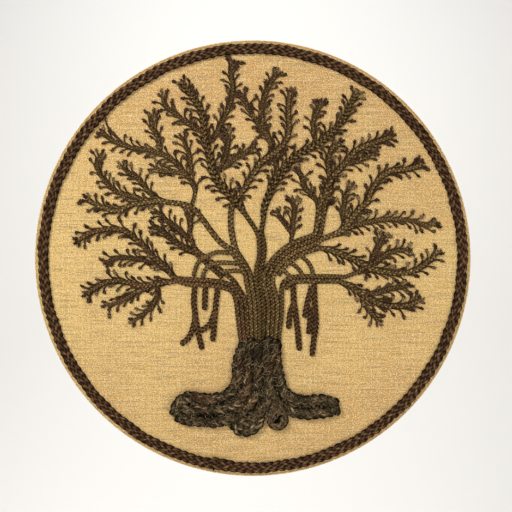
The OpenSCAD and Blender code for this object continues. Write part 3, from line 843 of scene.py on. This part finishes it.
laid = [smooth([*stem, *way], 0.0014) for _, stem, way, _, _, _ in limbs]
for n, (name, stem, way, bare, swell, dye) in enumerate(limbs):
    path, sideways, places = laid[n]
    way_from = places[-1] - way_length(way)
    width = snug * width_along(places, plait_w, tip_w) * np.interp(path[:, 1], squeeze_z, trunk_squeeze)
    width *= np.interp(places, [way_from, way_from + 0.03, places[-1]], [1, swell, 1 + 0.6 * (swell - 1)])
    under = [other[0][4:-4] for other in laid[n + 1 :]]
    strands = Strands(name + "_plait_strands", [dye, knot_dye, twig_dye], plait_t, sides=2)
    lift = over_others(path, under) if under else 0.0
    count = 5 if swell > 1.4 else 3
    plait(strands, path, sideways, places, width, count, start=2.4 * n, lift=lift, tints=(0.52, 1.2))
    twigs(strands, path, sideways, places, width, way_from + bare)
    piece = strands.made()
    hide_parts(name + "_plait")


# ---- Side shoots ----------------------------------------------------------------------------
# Thinner plaits of the same yarn. Each starts under the limb that it springs from and carries
# knotted twigs over nearly all of its length.

shoot_w, shoot_t = 0.007, 0.003
shoots = [
    ("left_low_shoots", red_brown, [
        [(-0.190, -0.054), (-0.210, -0.060), (-0.226, -0.070), (-0.246, -0.080), (-0.265, -0.087)],
        [(-0.173, -0.050), (-0.175, -0.070), (-0.185, -0.090), (-0.204, -0.105), (-0.220, -0.116)],
        [
            (-0.175, -0.012), (-0.195, -0.005), (-0.214, -0.001), (-0.236, 0.001), (-0.255, -0.001),
            (-0.270, -0.009),
        ],
    ]),
    ("left_mid_shoot", red_brown, [[(-0.116, 0.032), (-0.130, 0.048), (-0.150, 0.064), (-0.174, 0.085)]]),
    ("left_far_shoot", olive, [[
        (-0.200, 0.107), (-0.228, 0.115), (-0.250, 0.122), (-0.265, 0.135), (-0.279, 0.152),
        (-0.286, 0.172), (-0.279, 0.190),
    ]]),
    ("left_crown_shoot", olive, [[
        (-0.112, 0.098), (-0.107, 0.114), (-0.107, 0.130), (-0.115, 0.145), (-0.128, 0.160),
        (-0.144, 0.178), (-0.164, 0.190), (-0.188, 0.198), (-0.214, 0.201), (-0.238, 0.208),
        (-0.260, 0.218), (-0.276, 0.233),
    ]]),
    ("left_fan_shoots", olive, [
        [
            (-0.181, 0.110), (-0.191, 0.122), (-0.201, 0.135), (-0.214, 0.150), (-0.230, 0.158),
            (-0.241, 0.170),
        ],
        [(-0.122, 0.153), (-0.143, 0.159), (-0.164, 0.159), (-0.180, 0.168)],
    ]),
    ("left_crown_side_shoots", olive, [
        [(-0.169, 0.198), (-0.175, 0.223), (-0.186, 0.243), (-0.184, 0.263)],
        [(-0.113, 0.152), (-0.115, 0.178), (-0.120, 0.198), (-0.130, 0.222)],
    ]),
    ("crown_left_shoot", olive, [[
        (-0.090, 0.228), (-0.107, 0.239), (-0.127, 0.254), (-0.148, 0.269), (-0.163, 0.284),
        (-0.165, 0.299),
    ]]),
    ("crown_tall_shoot", olive, [[
        (-0.076, 0.212), (-0.064, 0.236), (-0.050, 0.264), (-0.040, 0.290), (-0.037, 0.316),
        (-0.041, 0.340), (-0.036, 0.358),
    ]]),
    ("crown_inner_shoots", olive, [
        [(-0.064, 0.156), (-0.053, 0.180), (-0.048, 0.198), (-0.046, 0.216), (-0.050, 0.234)],
        [(-0.060, 0.160), (-0.037, 0.179), (-0.021, 0.189), (-0.006, 0.198), (0.004, 0.205)],
    ]),
    ("crown_middle_left_shoot", olive, [[
        (0.035, 0.200), (0.028, 0.220), (0.016, 0.239), (0.005, 0.254), (-0.006, 0.269),
        (-0.014, 0.288), (-0.020, 0.300),
    ]]),
    ("crown_middle_right_shoot", olive, [[
        (0.033, 0.206), (0.027, 0.226), (0.018, 0.246), (0.016, 0.264), (0.016, 0.280),
        (0.024, 0.303), (0.032, 0.320), (0.044, 0.340),
    ]]),
    ("crown_right_shoots", olive, [
        [(0.114, 0.214), (0.110, 0.238), (0.112, 0.258), (0.120, 0.274), (0.124, 0.287)],
        [(0.041, 0.146), (0.044, 0.165), (0.040, 0.182)],
    ]),
    ("right_high_side_shoots", olive, [
        [(0.118, 0.102), (0.104, 0.120), (0.092, 0.135), (0.090, 0.152), (0.082, 0.164)],
        [(0.168, 0.172), (0.193, 0.178), (0.208, 0.185), (0.221, 0.193)],
    ]),
    ("right_mid_side_shoot", olive, [[
        (0.168, 0.060), (0.165, 0.080), (0.167, 0.100), (0.170, 0.114), (0.179, 0.130),
    ]]),
    ("right_long_shoot", olive, [[
        (0.150, 0.046), (0.174, 0.055), (0.196, 0.062), (0.216, 0.067), (0.242, 0.071),
        (0.272, 0.071), (0.298, 0.067), (0.320, 0.059), (0.334, 0.063),
    ]]),
    ("right_reaching_shoots", olive, [
        [(0.214, -0.014), (0.222, 0.009), (0.231, 0.023), (0.238, 0.042)],
        [(0.220, -0.012), (0.245, 0.007), (0.267, 0.014), (0.286, 0.016)],
    ]),
    ("right_low_shoots", olive, [
        [(0.203, -0.066), (0.227, -0.064), (0.249, -0.057), (0.271, -0.053), (0.284, -0.053)],
        [(0.198, -0.072), (0.209, -0.090), (0.220, -0.104), (0.231, -0.118)],
    ]),
    ("right_fork_shoots", red_brown, [
        [(0.069, 0.022), (0.072, 0.050), (0.074, 0.071), (0.076, 0.091), (0.074, 0.107)],
        [(0.070, 0.046), (0.053, 0.070), (0.045, 0.087)],
    ]),
]
bare_shoot = {"left_crown_shoot": 0.030, "right_fork_shoots": 0.024}
for name, dye, ways in shoots:
    strands = Strands(name + "_strands", [dye, knot_dye, twig_dye], shoot_t, sides=1)
    for way in ways:
        path, sideways, places = smooth(way, 0.0013)
        width = 1.15 * width_along(places, shoot_w, tip_w)
        plait(strands, path, sideways, places, width, start=rng.uniform(0, 6), tints=(0.62, 1.3))
        twigs(strands, path, sideways, places, width, bare_shoot.get(name, 0.010), spacing=0.0150)
    if name == "left_crown_shoot":
        stray, _, _ = smooth([(-0.239, 0.213), (-0.254, 0.228), (-0.267, 0.243), (-0.270, 0.259)], 0.003)
        strands.add(stray, 0.0026, 0.0017, 0.8, knot_slot)
    piece = strands.made()
    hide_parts(name)


# ---- Aerial roots ---------------------------------------------------------------------------
# Arching roots are narrow plaits from limb to limb. The hanging roots are wider, closer plaits of
# five thinner strands, with a round end where the strands turn back under.

hanging_w, arch_w, aerial_t = 0.0115, 0.0085, 0.004
root_dye = jute(
    "jute_warm_brown",
    (0.012, 0.005, 0.002),
    (0.135, 0.070, 0.026),
    (0.40, 0.26, 0.12),
    ply=0.005,
    other=(0.110, 0.056, 0.022),
)
arches = {
    "aerial_arches_left": [
        [(-0.044, 0.009), (-0.063, 0.011), (-0.084, 0.004), (-0.100, -0.008), (-0.108, -0.030)],
        [(-0.030, -0.010), (-0.050, -0.008), (-0.072, -0.010), (-0.086, -0.020), (-0.092, -0.034)],
        [(-0.020, -0.024), (-0.038, -0.023), (-0.054, -0.025)],
    ],
    "aerial_arches_right": [
        [(0.086, 0.006), (0.100, -0.006), (0.108, -0.020), (0.110, -0.032)],
        [(0.058, -0.005), (0.075, -0.012), (0.087, -0.024), (0.092, -0.034)],
        [(0.044, -0.018), (0.058, -0.024), (0.068, -0.034)],
    ],
}
hanging = {
    "hanging_root_left_outer": [
        [(-0.106, -0.050), (-0.108, -0.080), (-0.106, -0.110), (-0.115, -0.142), (-0.128, -0.155)],
        [(-0.106, -0.104), (-0.099, -0.142), (-0.094, -0.162)],
    ],
    "hanging_root_left_middle": [[(-0.087, -0.050), (-0.088, -0.090)]],
    "hanging_root_left_inner": [
        [(-0.064, -0.052), (-0.069, -0.098), (-0.071, -0.128), (-0.073, -0.147)],
        [(-0.069, -0.096), (-0.078, -0.120), (-0.091, -0.131)],
    ],
    "hanging_root_right_inner": [
        [(0.074, -0.044), (0.075, -0.075), (0.078, -0.098), (0.082, -0.130), (0.085, -0.164)],
        [(0.076, -0.080), (0.068, -0.104), (0.066, -0.124)],
    ],
    "hanging_root_right_outer": [
        [(0.112, -0.044), (0.114, -0.086), (0.116, -0.120), (0.112, -0.148), (0.109, -0.174)],
        [(0.108, -0.052), (0.099, -0.086), (0.096, -0.104)],
        [(0.108, -0.090), (0.103, -0.134)],
    ],
}


def round_end(path, sideways, places, width, step):
    """Runs a plait on past its last point, and draws its strands together there in a round end."""
    more = np.arange(step, width * 0.42, step)
    ahead = np.array([sideways[-1][1], -sideways[-1][0]])
    path = np.vstack([path, path[-1] + more[:, None] * ahead])
    sideways = np.vstack([sideways, np.tile(sideways[-1], (len(more), 1))])
    places = np.concatenate([places, places[-1] + more])
    to_end = np.clip((places[-1] + step - places) / (width / 2), 0, 1)
    return path, sideways, places, np.sqrt(1 - (1 - to_end) ** 2)


for name, ways in {**arches, **hanging}.items():
    hangs = name in hanging
    full = hanging_w if hangs else arch_w
    strands = Strands(name + "_strands", [root_dye if hangs else olive], aerial_t, sides=1 if hangs else 2)
    for way in ways:
        path, sideways, places, end = round_end(*smooth(way, 0.0012), full, 0.0012)
        plait(strands, path, sideways, places, full * end, 5 if hangs else 3, rng.uniform(0, 6), fat=1.12)
    piece = strands.made()
    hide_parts(name)


# ---- Coarse root plaits and coil ------------------------------------------------------------
# The foot of the trunk and the roots are thick plaits of loose, barely spun jute. Each strand is
# a bundle of soft yarns, with stray pale fibres over them. One end is wound up into a coil.

coarse_w, coarse_t = 0.0195, 0.009
coarse_fill = 1.2
coarse_z = [-0.152, -0.190, -0.225]
coarse_middle = [0.013, 0.008, 0.010]
coarse_squeeze = [0.78, 0.91, 1.0]
coarse_tops = [-0.004, 0.005, 0.001, 0.008, 0.003]
coarse_dye = jute(
    "jute_coarse",
    (0.002, 0.001, 0.0005),
    (0.043, 0.030, 0.013),
    (0.24, 0.17, 0.09),
    ply=0.02,
    other=(0.070, 0.036, 0.015),
    high=1.03,
)
fibre_dye = jute(
    "jute_stray_fibres",
    (0.10, 0.07, 0.035),
    (0.22, 0.16, 0.085),
    (0.36, 0.28, 0.17),
    ply=0.02,
    low=0.0,
    high=0.2,
)
fibre_slot = 1


def coarse_trunk(k):
    """The way down the lower trunk of one coarse plait. Their tops are at uneven heights."""
    way = [
        (middle + (k - 2) * coarse_w * squeeze, z - 0.00025)
        for z, middle, squeeze in zip(coarse_z, coarse_middle, coarse_squeeze)
    ]
    return [(way[0][0], way[0][1] + coarse_tops[k]), *way[1:]]


def bundle(strands, middle, height, sideways, places, r, yarns, twist):
    """A loose strand: soft yarns that wind slowly round a middle line, in plan and height."""
    start = rng.uniform(0, 6)
    for n in range(yarns):
        angle = start + 2 * math.pi * n / (yarns - 1) + places / twist
        ring = 0.0 if n == yarns - 1 else 1.0
        sway = 0.2 * np.sin(places / rng.uniform(0.006, 0.012) + rng.uniform(0, 6))
        out = r * 0.68 * ring * (np.cos(angle) + sway)
        up = r * 0.68 * ring * np.sin(angle) * strands.press
        thick = r.max() * rng.uniform(0.27, 0.40) * (1 + 0.12 * np.sin(places / rng.uniform(0.007, 0.015)))
        plan = middle + out[:, None] * sideways
        strands.add(plan, height + up, thick, rng.choice((0.3, 0.5, 0.7, 0.9, 1.2, 2.0)))


def stray_fibres(strands, path, sideways, places, width, thick, each=0.0022):
    """Pale fibres that have come loose and lie in short arcs over the plait."""
    for _ in range(int(places[-1] / each)):
        i = rng.randrange(2, len(path) - 2)
        ahead = np.array([sideways[i][1], -sideways[i][0]])
        at = path[i] + sideways[i] * width[i] * rng.uniform(-0.46, 0.46)
        heading = rng.gauss(0, 0.9)
        way = math.cos(heading) * ahead + math.sin(heading) * sideways[i]
        cross = np.array([-way[1], way[0]])
        t = np.linspace(-1, 1, 6)
        plan = at + rng.uniform(0.004, 0.011) * t[:, None] * way
        plan = plan + rng.gauss(0, 0.0038) * (t**2)[:, None] * cross
        off = abs(float((at - path[i]) @ sideways[i])) / (width[i] / 2)
        top = thick * (0.98 - 0.32 * off**2)
        strands.add(plan, top - 0.0016 * t**2, 0.00032, rng.uniform(0.5, 1.5), fibre_slot)


def coarse_plait(strands, path, sideways, places, width):
    phase = rng.uniform(0, 6) + places * 2 * math.pi / 0.040
    r = width * 0.27
    for k in range(3):
        angle = phase + 2 * math.pi * k / 3
        middle = path + ((width / 2 - r) * np.sin(angle))[:, None] * sideways
        height = coarse_t * 0.47 + (coarse_t * 0.47 - r * strands.press) * np.sin(2 * angle)
        bundle(strands, middle, height, sideways, places, r, 11, 0.0095)
    stray_fibres(strands, path, sideways, places, width, coarse_t)


roots = {
    "root_plait_left_top": [[
        *coarse_trunk(0), (-0.040, -0.245), (-0.062, -0.256), (-0.090, -0.257), (-0.114, -0.254),
        (-0.134, -0.264), (-0.142, -0.280),
    ]],
    "root_plait_right_top": [[
        *coarse_trunk(4), (0.058, -0.246), (0.080, -0.259), (0.105, -0.261), (0.130, -0.260),
        (0.147, -0.266),
    ]],
    "root_plait_left_middle": [[
        *coarse_trunk(1), (-0.018, -0.252), (-0.040, -0.271), (-0.066, -0.277), (-0.095, -0.276),
        (-0.122, -0.278),
    ]],
    "root_plait_centre": [
        [*coarse_trunk(3), (0.027, -0.256), (0.017, -0.278), (-0.003, -0.294), (-0.022, -0.302)],
        [(0.014, -0.288), (0.009, -0.303), (-0.005, -0.3145), (-0.021, -0.3150), (-0.030, -0.3085)],
    ],
    "root_plait_left_bottom": [[
        *coarse_trunk(2), (0.004, -0.252), (-0.012, -0.274), (-0.036, -0.291), (-0.062, -0.299),
        (-0.092, -0.298), (-0.116, -0.296), (-0.133, -0.291),
    ]],
    "root_plait_right_bottom": [[
        (0.034, -0.238), (0.040, -0.258), (0.060, -0.276), (0.094, -0.284), (0.126, -0.282),
        (0.151, -0.277),
    ]],
}
for name, ways in roots.items():
    strands = Strands(name + "_strands", [coarse_dye, fibre_dye], coarse_t, sides=1, press=0.75)
    for way in ways:
        path, sideways, places, end = round_end(*smooth(way, 0.0026), coarse_w, 0.0026)
        width = coarse_fill * coarse_w * np.interp(path[:, 1], coarse_z[::-1], coarse_squeeze[::-1])
        top = np.sqrt(1 - (1 - np.clip(places / 0.007, 0, 1)) ** 2)
        coarse_plait(strands, path, sideways, places, width * (0.25 + 0.75 * end) * (0.6 + 0.4 * top))
    piece = strands.made()
    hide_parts(name)

coil_middle = np.array((0.0455, -0.2948))
coil_turns, coil_out, coil_in, rope_r = 2.0, 0.0160, 0.0086, 0.0050
coil_steps = 60
share = np.linspace(0, 1, coil_steps)
sweep = 0.6 + 2 * math.pi * coil_turns * share
inward = np.clip((share * coil_turns - 0.8) / (coil_turns - 0.8), 0, 1)
outward = np.column_stack([np.cos(sweep), np.sin(sweep)])
coil_path = coil_middle + (coil_out + (coil_in - coil_out) * inward)[:, None] * outward
coil_places = np.concatenate([[0], np.cumsum(np.linalg.norm(np.diff(coil_path, axis=0), axis=1))])
coil = Strands("root_coil_strands", [coarse_dye, fibre_dye], coarse_t, sides=1, press=0.9)
rope = np.full(coil_steps, rope_r)
bundle(coil, coil_path, coarse_t * 0.46 + 0.0006 * share, outward, coil_places, rope, 10, 0.008)
stray_fibres(coil, coil_path, outward, coil_places, 2 * rope, coarse_t, 0.0030)
# The rope's inner end lies low in the coil's hole, where a low tint and the painted shade of the hollows
# make it dark: painted shade for the hole.
hole = coil_middle + 0.0042 * outward[:24]
coil.add(hole, coarse_t * 0.22, 0.0046, 0.4)
coil_piece = coil.made()
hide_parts("root_coil")


# ---- Border plait ---------------------------------------------------------------------------
# A flat plait of five soft strands, three red brown and two olive, sewn round just inside the
# rim. It starts near the bottom and its end laps over its start, a little proud of it.

border_w, border_t, lap_rise = 0.021, 0.005, 0.0015
border_r = disc_r - 0.0055 - border_w / 2
lap_l, lap_at, lap_proud = 0.044, 8, 0.004
border_dye = jute(
    "jute_border_red",
    (0.006, 0.002, 0.001),
    (0.085, 0.038, 0.017),
    (0.28, 0.16, 0.09),
    ply=0.012,
    other=(0.060, 0.027, 0.013),
)
border_olive = jute(
    "jute_border_olive",
    (0.007, 0.003, 0.001),
    (0.118, 0.064, 0.027),
    (0.34, 0.22, 0.115),
    ply=0.012,
)
step = 0.0017
start_angle = math.radians(-90 - lap_at) + lap_l / 2 / border_r
run = 2 * math.pi * border_r + lap_l
places = np.arange(0, run, step)
angle = start_angle - places / border_r
lapped = np.clip((places - (run - lap_l)) / 0.012, 0, 1)
wander = 0.0004 * np.sin(angle * 23) + 0.0003 * np.sin(angle * 41 + 1)
outward = np.column_stack([np.cos(angle), np.sin(angle)])
ring_r = border_r + wander - lapped * lap_proud / 2
path = ring_r[:, None] * outward
border = Strands("border_strands", [border_dye, border_olive], border_t, sides=1, press=0.62)
width = np.full(len(places), border_w) * (1 + 0.03 * np.sin(angle * 31) + 0.02 * np.sin(angle * 67 + 2))
width += lapped * lap_proud * 0.5
plait(border, path, outward, places, width, 5, 0.0, (0, 1, 0, 1, 0), lap_rise * lapped, 1.15)
# The cut end of one strand sticks out beside the lap, towards the rim.
stub_at = math.radians(-90 - lap_at - 2.5)
stub = np.column_stack([np.cos(stub_at), np.sin(stub_at)])[0]
t = np.linspace(0, 1, 6)[:, None]
border.add((border_r + border_w * 0.3 + t * 0.0055) * stub, 0.0028, 0.0019, 0.8, 0)
border_piece = border.made()
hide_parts("border_plait")


# ---- Hanger ---------------------------------------------------------------------------------
# A bought picture hanger on the back, near the top: a steel strap folded over the bar of a
# D ring, held by two pan-head screws. The ring turns freely in the fold.

for node in ("hanger_strap", "hanger_ring"):
    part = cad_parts[node]
    part.data.materials.clear()
    part.data.materials.append(zinc)

screw_low, screw_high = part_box("hanger_screws")
head_r, head_h = 0.0028, 0.0018
screws = bmesh.new()
profile = [
    (0.0, screw_low.y), (0.0006, screw_low.y + 0.0006), (0.0015, screw_low.y + 0.0016),
    (0.0015, screw_high.y - head_h), (head_r, screw_high.y - head_h), (head_r, screw_high.y - 0.0010),
    (head_r * 0.86, screw_high.y - 0.0004), (head_r * 0.5, screw_high.y), (0.0, screw_high.y),
]
for middle_z in (screw_high.z - head_r, screw_low.z + head_r):
    ring = [screws.verts.new((r, y, middle_z)) for r, y in profile]
    edges = [screws.edges.new(pair) for pair in zip(ring, ring[1:])]
    bmesh.ops.spin(
        screws,
        geom=ring + edges,
        cent=(0, 0, middle_z),
        axis=(0, 1, 0),
        angle=2 * math.pi,
        steps=28,
        use_merge=True,
    )
bmesh.ops.remove_doubles(screws, verts=screws.verts, dist=1e-6)
bmesh.ops.recalc_face_normals(screws, faces=screws.faces)
screw_mesh = bpy.data.meshes.new("pan_head_screws")
screws.to_mesh(screw_mesh)
for face in screw_mesh.polygons:
    face.use_smooth = True
screw_mesh.materials.append(zinc)
pan_head_screws = link(bpy.data.objects.new("pan_head_screws", screw_mesh))
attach(pan_head_screws, "panel")
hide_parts("hanger_screws")
